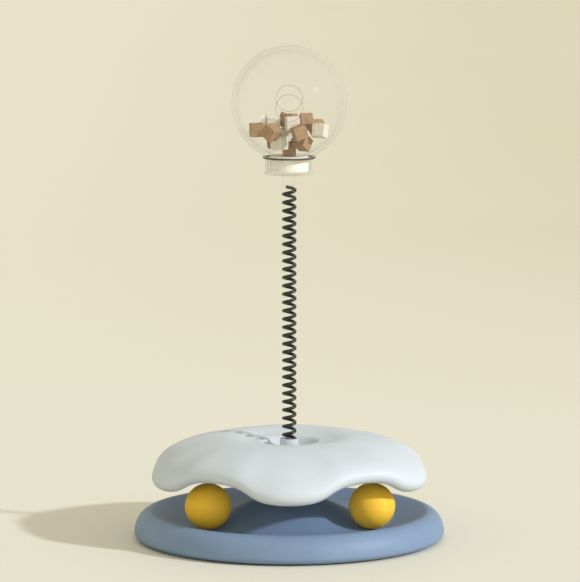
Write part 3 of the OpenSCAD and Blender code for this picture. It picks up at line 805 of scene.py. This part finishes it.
class TOY_OT_cap(bpy.types.Operator):
    """Turn the cap with its stem and peg, the liner and the seal"""

    bl_idname = "toy.cap"
    bl_label = "Cap, liner and seal"

    def execute(self, context):
        s = context.scene.toy_globe
        spring_top = HIGH["spring"].z
        cap_top, floor_top, peg_z = HIGH["globe_cap"].z, s.cap_z + s.cap_floor, LOW["globe_cap"].z
        cap = soft_line([
            [0, peg_z], [s.peg_r, peg_z], [s.peg_r, spring_top], [s.stem_r, spring_top],
            [s.stem_r, s.cap_z], [s.cap_r, s.cap_z], [s.cap_r, cap_top], [s.cap_bore_r, cap_top],
            [s.cap_bore_r, floor_top], [0, floor_top],
        ], EDGE_ROUND)
        cap_piece = turned_piece("globe_cap_shell", finer(cap), body="globe_holder",
                                 slot="clear_plastic", replaces="globe_cap", look=material("cap_clear"))

        # The cap's lower rim and the root of its stem get painted shade.
        def at_cap_edge(x, y, z):
            r = np.hypot(x, y)
            rim, root = r > s.cap_r - EDGE_ROUND, r < s.stem_r + EDGE_ROUND
            return (np.abs(z - s.cap_z) < EDGE_ROUND) & (rim | root)

        paint_rim_shade(cap_piece, at_cap_edge)

        liner_r, liner_top, liner_low = HIGH["cap_liner"].x, HIGH["cap_liner"].z, LOW["cap_liner"].z + AIR
        in_r, in_top = liner_r - s.liner_wall, liner_top - s.liner_wall
        liner = soft_line([
            [0, liner_top], [liner_r, liner_top], [liner_r, liner_low],
            [in_r, liner_low], [in_r, in_top], [0, in_top],
        ], LINER_ROUND)
        turned_piece("cap_liner_shell", finer(liner),
                     body="globe_holder", slot="liner_cream", replaces="cap_liner")

        seal_r, seal_low, seal_top = HIGH["seal_ring"].x, LOW["seal_ring"].z, HIGH["seal_ring"].z
        seal = soft_line([
            [s.cap_bore_r, seal_low], [seal_r, seal_low], [seal_r, seal_top], [s.cap_bore_r, seal_top],
        ], SEAL_ROUND, closed=True)
        turned_piece("seal_washer", seal, closed=True, body="globe_holder", slot="seal_rubber",
                     replaces="seal_ring")
        return {"FINISHED"}


# Treats

def treat_places(s, g, centre_z, liner_z):
    """Places of the treats as an array of [distance from the axis, height, turn, roll]: a stack in the
    middle, a ring round it, a ring against the globe's wall and one more on the inner ring, with the reach of
    a rolled cube kept clear of the wall."""
    inner_wall = g.radius - g.wall
    half = s.side / 2
    reach = half * np.sqrt(2)
    inner = half + reach + s.gap
    outer = np.hypot(inner + half, reach) + half + s.gap

    def resting(distance):
        return centre_z - np.sqrt(inner_wall ** 2 - (distance + half) ** 2) + reach + s.gap

    def ring(distance, height, first, kinds):
        i = np.arange(len(kinds))
        same = np.ones(len(i))
        return np.stack([distance * same, height * same, first + 2 * np.pi * i / len(i), s.roll * i], -1)

    i = np.arange(len(s.stack_kinds))
    stack = np.stack([0 * i, liner_z + half + s.gap + i * (s.side + s.gap), s.stack_twist * i, 0 * i], -1)
    upper_z = resting(inner) + 2 * reach + s.gap
    return np.concatenate([
        stack,
        ring(inner, resting(inner), s.lower_turn, s.lower_kinds),
        ring(outer, resting(outer), s.outer_turn, s.outer_kinds),
        ring(inner, upper_z, s.upper_turn, s.upper_kinds),
    ])


def treat_cubes(s, n, seed):
    """Crumbled cubes of n treats as arrays [treat, face, row, column, xyz]. Each face is a grid with more
    points near its edges, edges are rounded as a rounded box is, and waves in random directions eat into the
    surface."""
    half = s.side / 2
    u = np.sin(np.linspace(-np.pi / 2, np.pi / 2, s.cells)) * half
    p, q = np.meshgrid(u, u, indexing="ij")
    top = np.full_like(p, half)
    faces = ((p, q, top), (q, p, -top), (top, p, q), (-top, q, p), (q, top, p), (p, -top, q))
    cube = np.stack([np.stack(axes, -1) for axes in faces])
    core = np.clip(cube, s.edge - half, half - s.edge)
    out = cube - core
    out /= np.linalg.norm(out, axis=-1, keepdims=True)
    cube = core + s.edge * out
    draw = np.random.default_rng(seed)
    waves, lengths = 14, (0.0016, 0.006)
    ways = draw.normal(size=(n, waves, 3))
    spans = draw.uniform(*lengths, size=(n, waves, 1))
    ways *= 2 * np.pi / (spans * np.linalg.norm(ways, axis=-1, keepdims=True))
    starts = draw.uniform(0, 2 * np.pi, size=(n, waves))
    wave = np.sin(np.einsum("frcx,nwx->nfrcw", cube, ways) + starts[:, None, None, None]).mean(-1) * 2
    eaten = s.crumble * np.clip(0.5 + wave, 0, 1)
    return cube[None] - eaten[..., None] * out[None]


class TOY_OT_treats(bpy.types.Operator):
    """Make the brown and the pale treats"""

    bl_idname = "toy.treats"
    bl_label = "Treats"

    def execute(self, context):
        s, g = context.scene.toy_treats, context.scene.toy_globe
        places = treat_places(s, g, HIGH["globe"].z - g.radius, HIGH["cap_liner"].z)
        kinds = np.array(list(s.stack_kinds + s.lower_kinds + s.outer_kinds + s.upper_kinds))
        for tone, seed in (("brown", 3), ("pale", 5)):
            distance, height, angle, roll = places[kinds == tone[0]].T
            cubes = treat_cubes(s, len(angle), seed)
            rolled = np.einsum("nij,nfrcj->nfrci", about(Y, roll), cubes)
            moved = rolled + np.stack([0 * distance, -distance, height], -1)[:, None, None, None]
            points = np.einsum("nij,nfrcj->nfrci", about(Z, angle), moved)
            one_face = grid_faces(s.cells, s.cells, wrap_rows=False, wrap_columns=False)
            faces = copies(points.reshape(-1, s.cells, s.cells, 3), one_face)
            new_piece(f"{tone}_treat_cubes", points, faces,
                      body="treat_globe", slot=f"treat_{tone}", replaces=f"{tone}_treats")
        return {"FINISHED"}


# Materials

def feed(tree, value, socket):
    """Links a socket to an input, or sets the input to a value."""
    if isinstance(value, bpy.types.NodeSocket):
        tree.links.new(value, socket)
    else:
        socket.default_value = value


def put(tree, kind, **sockets):
    """Adds a node and feeds each input, named with underscores for spaces."""
    node = tree.nodes.new(kind)
    for name, value in sockets.items():
        feed(tree, value, node.inputs[name.replace("_", " ")])
    return node


def mix_colour(tree, factor, a, b):
    """Adds a colour mix of two colours or colour sockets by a factor socket."""
    node = tree.nodes.new("ShaderNodeMix")
    node.data_type = "RGBA"
    # The colour inputs share their names with the number inputs, so they go by their places.
    for at, value in ((0, factor), (6, a), (7, b)):
        feed(tree, value, node.inputs[at])
    return node.outputs[2]


def new_group(name, inputs, outputs):
    """Starts a shader node group with inputs as (name, kind, value) and outputs as (name, kind)."""
    tree = bpy.data.node_groups.new(name, "ShaderNodeTree")
    for label, kind, value in inputs:
        tree.interface.new_socket(name=label, in_out="INPUT", socket_type=kind).default_value = value
    for label, kind in outputs:
        tree.interface.new_socket(name=label, in_out="OUTPUT", socket_type=kind)
    return tree, tree.nodes.new("NodeGroupInput").outputs, tree.nodes.new("NodeGroupOutput").inputs


def object_coords(tree):
    return tree.nodes.new("ShaderNodeTexCoord").outputs["Object"]


def calculate(tree, operation, a, b):
    """Adds a calculation with two sockets or numbers."""
    node = tree.nodes.new("ShaderNodeMath")
    node.operation = operation
    for value, socket in zip((a, b), node.inputs):
        feed(tree, value, socket)
    return node.outputs["Value"]


def mix_shaders(tree, amount, first, second, surface):
    """Adds a mix of two shaders by an amount of the second, on a material's surface."""
    mix = tree.nodes.new("ShaderNodeMixShader")
    for source, socket in zip((amount, first.outputs["BSDF"], second.outputs["BSDF"]), mix.inputs):
        tree.links.new(source, socket)
    tree.links.new(mix.outputs["Shader"], surface)


def fit_range(tree, value, low, high, to_low, to_high):
    """Adds a map of a value from one range to another, held at its ends."""
    node = put(tree, "ShaderNodeMapRange", Value=value, From_Min=low, From_Max=high, To_Min=to_low,
               To_Max=to_high)
    return node.outputs["Result"]


def moulded_group():
    """Moulded plastic: two tones that cloud into each other, gloss that wanders and a fine grain."""
    tree, given, result = new_group(
        "Moulded Plastic",
        [("Colour", COLOUR, WHITE), ("Tone", COLOUR, WHITE),
         ("Cloud Scale", NUMBER, 30.0), ("Grain Scale", NUMBER, 2200.0),
         ("Rough Low", NUMBER, 0.4), ("Rough High", NUMBER, 0.5)],
        [("Colour", COLOUR), ("Roughness", NUMBER), ("Height", NUMBER)])
    at = object_coords(tree)
    cloud = put(tree, "ShaderNodeTexNoise", Vector=at, Scale=given["Cloud Scale"], Detail=3.0)
    grain = put(tree, "ShaderNodeTexNoise", Vector=at, Scale=given["Grain Scale"], Detail=2.0)
    scuff = put(tree, "ShaderNodeTexNoise", Vector=at, Scale=180.0, Detail=4.0, Roughness=0.6)
    second = fit_range(tree, cloud.outputs["Fac"], 0.35, 0.65, 0, 1)
    tree.links.new(mix_colour(tree, second, given["Colour"], given["Tone"]), result["Colour"])
    rough = fit_range(tree, scuff.outputs["Fac"], 0.3, 0.7, given["Rough Low"], given["Rough High"])
    tree.links.new(rough, result["Roughness"])
    tree.links.new(grain.outputs["Fac"], result["Height"])
    return tree


def crumb_group():
    """Dried treat: pores at the middles of cells, sunk by the bump and painted darker as shade in the pits,
    in blotches, with fine fibres between them.
    """
    tree, given, result = new_group(
        "Dry Crumb",
        [("Colour", COLOUR, WHITE), ("Pore Shade", COLOUR, WHITE), ("Scale", NUMBER, 900.0)],
        [("Colour", COLOUR), ("Height", NUMBER)])
    at = object_coords(tree)
    cells = put(tree, "ShaderNodeTexVoronoi", Vector=at, Scale=given["Scale"], Randomness=1.0)
    blotch = put(tree, "ShaderNodeTexNoise", Vector=at, Scale=160.0, Detail=5.0, Roughness=0.65)
    fibre = put(tree, "ShaderNodeTexNoise", Vector=at, Scale=1400.0, Detail=4.0, Roughness=0.7)
    pores = fit_range(tree, cells.outputs["Distance"], 0.1, 0.55, 1, 0)
    # The pores' darker colour is painted shade in the pits, patchy by blotches.
    pore_shade_amount = calculate(tree, "MULTIPLY", pores, fit_range(tree, blotch.outputs["Fac"], 0.35, 0.7, 0.1, 1))
    tree.links.new(mix_colour(tree, pore_shade_amount, given["Colour"], given["Pore Shade"]), result["Colour"])
    tree.links.new(calculate(tree, "SUBTRACT", fibre.outputs["Fac"], pores), result["Height"])
    return tree


def handling_group():
    """Gloss that light handling has dulled in patches."""
    tree, given, result = new_group(
        "Handling Marks",
        [("Clean", NUMBER, 0.0), ("Marked", NUMBER, 0.05)],
        [("Roughness", NUMBER)])
    patches = put(tree, "ShaderNodeTexNoise", Vector=object_coords(tree), Scale=45.0, Detail=5.0,
                  Roughness=0.6)
    rough = fit_range(tree, patches.outputs["Fac"], 0.45, 0.8, given["Clean"], given["Marked"])
    tree.links.new(rough, result["Roughness"])
    return tree


GROUPS = {"Moulded Plastic": moulded_group, "Dry Crumb": crumb_group, "Handling Marks": handling_group}


def group_node(tree, name, given):
    """Adds one of the shared groups, which is built the first time."""
    node = tree.nodes.new("ShaderNodeGroup")
    node.node_tree = bpy.data.node_groups.get(name) or GROUPS[name]()
    for label, value in given.items():
        node.inputs[label].default_value = value
    return node.outputs


def new_material(name):
    """Starts an empty material and gives it, its node tree and its output's surface."""
    made = bpy.data.materials.new(name)
    made.use_nodes = True
    made.node_tree.nodes.clear()
    return made, made.node_tree, made.node_tree.nodes.new("ShaderNodeOutputMaterial").inputs["Surface"]


def four(rgb):
    return (*rgb, 1.0)


def grained(name, group, given, strength, depth, **shader):
    """Solid material with a shared group's colour, bump and, where the group has it, roughness."""
    made, tree, surface = new_material(name)
    look = group_node(tree, group, given)
    bump = put(tree, "ShaderNodeBump", Height=look["Height"], Strength=strength, Distance=depth)
    if "Roughness" in look:
        shader["Roughness"] = look["Roughness"]
    solid = put(tree, "ShaderNodeBsdfPrincipled", Base_Color=look["Colour"], Normal=bump.outputs["Normal"],
                **shader)
    tree.links.new(solid.outputs["BSDF"], surface)
    return made


def moulded(name, base, tone, rough=(0.4, 0.5), grain=2200.0, cloud=30.0, strength=0.5, **shader):
    """Moulded plastic, rubber, coated wire or steel, with gloss between two values of roughness."""
    given = {"Colour": four(base), "Tone": four(tone), "Cloud Scale": cloud, "Grain Scale": grain,
             "Rough Low": rough[0], "Rough High": rough[1]}
    return grained(name, "Moulded Plastic", given, strength, GRAIN_DEPTH, **shader)


def crumbly(name, base, pores, scale):
    """Dried treat, with painted shade in its pores."""
    given = {"Colour": four(base), "Pore Shade": four(pores), "Scale": scale}
    return grained(name, "Dry Crumb", given, strength=0.6, depth=PORE_DEPTH, Roughness=0.85)


def clear(name, tint, edge, rough, head_on, along):
    """Clear moulded wall: see-through, mixed with a skin by how far the wall is seen along its face. The
    skin's share grows with the fifth power of that, as a mirror's does, between its values head on and along
    the face. The skin's colour is painted shade: a grey that darkens the wall where it is seen along its
    face, in place of the darker outline that refraction gives."""
    made, tree, surface = new_material(name)
    marks = group_node(tree, "Handling Marks", {"Clean": rough, "Marked": rough + MARK_ROUGH})
    skin = put(tree, "ShaderNodeBsdfPrincipled", Base_Color=four(edge), Roughness=marks["Roughness"])
    open_way = put(tree, "ShaderNodeBsdfTransparent", Color=four(tint))
    facing = put(tree, "ShaderNodeLayerWeight", Blend=0.5)
    steep = calculate(tree, "POWER", facing.outputs["Facing"], EDGE_POWER)
    mix_shaders(tree, fit_range(tree, steep, 0, 1, head_on, along), open_way, skin, surface)
    return made


def material(name):
    """The toy's material of that name, made the first time it is asked for. The CAD's plain materials have
    the names of the slots, so the toy's own end in _look."""
    c = bpy.context.scene.toy_finishes
    look = f"{name}_look"
    makers = {
        "tray_blue": lambda: moulded(look, c.tray, c.tray_tone, rough=(0.5, 0.58), Specular_IOR_Level=0.45),
        "cover_pale": lambda: moulded(look, c.cover, c.cover_tone, rough=(0.55, 0.65)),
        "ball_yellow": lambda: moulded(look, c.ball, c.ball_tone, rough=(0.55, 0.65), cloud=90.0,
                                       Specular_IOR_Level=0.3),
        "nut_white": lambda: moulded(look, c.nut, c.cover_tone, cloud=200.0),
        "spring_black": lambda: moulded(look, c.wire, c.wire_tone, rough=(0.18, 0.26), cloud=500.0,
                                        grain=5000.0),
        "seal_rubber": lambda: moulded(look, c.seal, c.seal_tone, rough=(0.55, 0.7), cloud=300.0),
        "foot_rubber": lambda: moulded(look, c.rubber, c.rubber_tone, rough=(0.6, 0.8), cloud=200.0),
        "screw_steel": lambda: moulded(look, c.steel, [STEEL_SHADE * channel for channel in c.steel],
                                       rough=(0.25, 0.4), cloud=400.0, grain=6000.0, strength=0.3,
                                       Metallic=1.0),
        # The globe's and the cap's skins carry painted shade towards their outlines.
        "globe_clear": lambda: clear(look, c.clear, c.clear_skin_painted_shade, rough=0.16, head_on=0.015, along=0.7),
        "cap_clear": lambda: clear(look, c.clear, c.clear_skin_painted_shade, rough=0.12, head_on=0.03, along=0.8),
        # Painted shade for the rims of clear pieces.
        "painted_shade_rim_clear": lambda: clear(look, c.clear, c.clear_rim_painted_shade, rough=0.2, head_on=0.2, along=0.9),
        "liner_cream": lambda: moulded(look, c.liner, c.liner_tone, rough=(0.5, 0.6), cloud=200.0),
        "treat_brown": lambda: crumbly(look, c.treat_brown, c.treat_brown_pore_shade, scale=700.0),
        "treat_pale": lambda: crumbly(look, c.treat_pale, c.treat_pale_pore_shade, scale=800.0),
    }
    return bpy.data.materials.get(look) or makers[name]()


# Stage

def floor_material(look):
    """Pale floor that changes tone a little towards the back. From below it is see-through, so that the
    underside can be looked at."""
    made, tree, surface = new_material("floor_cream")
    at = object_coords(tree)
    place = put(tree, "ShaderNodeSeparateXYZ", Vector=at)
    cloud = put(tree, "ShaderNodeTexNoise", Vector=at, Scale=1.2, Detail=2.0)
    near_y, far_y, side_x = 0.3, 2.0, 0.4
    back = fit_range(tree, place.outputs["Y"], near_y, far_y, 0, 1)
    right = fit_range(tree, place.outputs["X"], -side_x, side_x, 0, 1)
    far = mix_colour(tree, right, four(look.floor_far), four(look.floor_side))
    tone = mix_colour(tree, back, four(look.floor), far)
    soft = mix_colour(tree, fit_range(tree, cloud.outputs["Fac"], 0.3, 0.7, 0, 0.15), tone, four(look.floor))
    solid = put(tree, "ShaderNodeBsdfPrincipled", Base_Color=soft, Roughness=0.7)
    open_way = tree.nodes.new("ShaderNodeBsdfTransparent")
    side = tree.nodes.new("ShaderNodeNewGeometry")
    mix_shaders(tree, side.outputs["Backfacing"], solid, open_way, surface)
    return made


def light_world(look):
    """Soft light from all round, and the backdrop's colour for what the camera, mirrors and clear pieces
    see."""
    world = bpy.data.worlds.new("soft_room")
    bpy.context.scene.world = world
    world.use_nodes = True
    tree = world.node_tree
    tree.nodes.clear()
    path = tree.nodes.new("ShaderNodeLightPath")
    seen = path.outputs["Is Camera Ray"]
    for kind in ("Is Glossy Ray", "Is Transmission Ray"):
        seen = calculate(tree, "MAXIMUM", seen, path.outputs[kind])
    tone = mix_colour(tree, seen, four(look.sky), four(look.backdrop))
    back = put(tree, "ShaderNodeBackground", Color=tone, Strength=1.0)
    tree.links.new(back.outputs["Background"], tree.nodes.new("ShaderNodeOutputWorld").inputs["Surface"])


def far_lamp(scene, name, power, spread, tone, turn_in, rise):
    """Adds a lamp so far off that its light is parallel, turned from the right towards the camera and
    raised."""
    lamp = bpy.data.lights.new(name, "SUN")
    lamp.energy, lamp.angle, lamp.color = power, spread, tone
    placed = bpy.data.objects.new(name, lamp)
    level = np.cos(rise)
    to_lamp = Vector((level * np.cos(turn_in), -level * np.sin(turn_in), np.sin(rise)))
    placed.rotation_euler = to_lamp.to_track_quat("Z", "Y").to_euler()
    placed.location = to_lamp
    scene.collection.objects.link(placed)


class TOY_OT_stage(bpy.types.Operator):
    """Set the camera, the key light, the soft light and the floor"""

    bl_idname = "toy.stage"
    bl_label = "Stage"

    def execute(self, context):
        scene, look = context.scene, context.scene.toy_stage
        scene.view_settings.view_transform = "Standard"

        lens = bpy.data.cameras.new("camera")
        lens.sensor_width = SENSOR
        lens.lens = look.focal_pixels * SENSOR / IMAGE_SIDE
        lens.shift_x = look.shift_pixels / IMAGE_SIDE
        camera = bpy.data.objects.new("camera", lens)
        camera.location = (0, -look.distance, look.height)
        aim = Vector((0, 0, look.aim_z)) - camera.location
        camera.rotation_euler = aim.to_track_quat("-Z", "Y").to_euler()
        scene.collection.objects.link(camera)
        scene.camera = camera

        far_lamp(scene, "key_light", look.sun_power, look.sun_spread, look.sun_colour, look.sun_turn,
                 look.sun_rise)
        far_lamp(scene, "fill_light", look.fill_power, look.fill_spread, look.fill_colour, np.pi / 2,
                 look.fill_rise)
        light_world(look)

        r = np.array([*FLOOR_RINGS, look.floor_r])
        points = turned(np.stack([r, 0 * r], -1), segments=64)
        faces = grid_faces(*points.shape[:2], wrap_columns=False)
        floor = new_piece("floor", points, faces, look=floor_material(look))
        if floor.data.polygons[0].normal.z < 0:
            floor.data.flip_normals()
        return {"FINISHED"}


class TOY_PT_sidebar(bpy.types.Panel):
    """Lists the toy's pieces and their sizes"""

    bl_idname = "TOY_PT_sidebar"
    bl_label = "Treat Toy"
    bl_space_type = "VIEW_3D"
    bl_region_type = "UI"
    bl_category = "Treat Toy"

    def draw(self, context):
        for step in STEPS:
            self.layout.operator(step.bl_idname)
        for holder, kind in SIZES.items():
            box = self.layout.box()
            box.label(text=kind.__name__)
            for name in kind.__annotations__:
                box.prop(getattr(context.scene, holder), name)


SIZES = {
    "toy_tray": TraySizes, "toy_cover": CoverSizes, "toy_balls": BallSizes, "toy_spring": SpringSizes,
    "toy_globe": GlobeSizes, "toy_treats": TreatSizes, "toy_finishes": Finishes, "toy_stage": StageLook,
}
STEPS = (TOY_OT_stage, TOY_OT_tray, TOY_OT_base_fittings, TOY_OT_balls, TOY_OT_cover, TOY_OT_spring,
         TOY_OT_cap, TOY_OT_globe, TOY_OT_treats)


def register():
    for kind in (*SIZES.values(), *STEPS, TOY_PT_sidebar):
        bpy.utils.register_class(kind)
    for holder, kind in SIZES.items():
        setattr(bpy.types.Scene, holder, PointerProperty(type=kind))


def unregister():
    for holder in SIZES:
        delattr(bpy.types.Scene, holder)
    for kind in (TOY_PT_sidebar, *reversed(STEPS), *reversed(SIZES.values())):
        bpy.utils.unregister_class(kind)


def main():
    register()
    for step in STEPS:
        group, name = step.bl_idname.split(".")
        getattr(getattr(bpy.ops, group), name)()


if __name__ == "__main__":
    main()
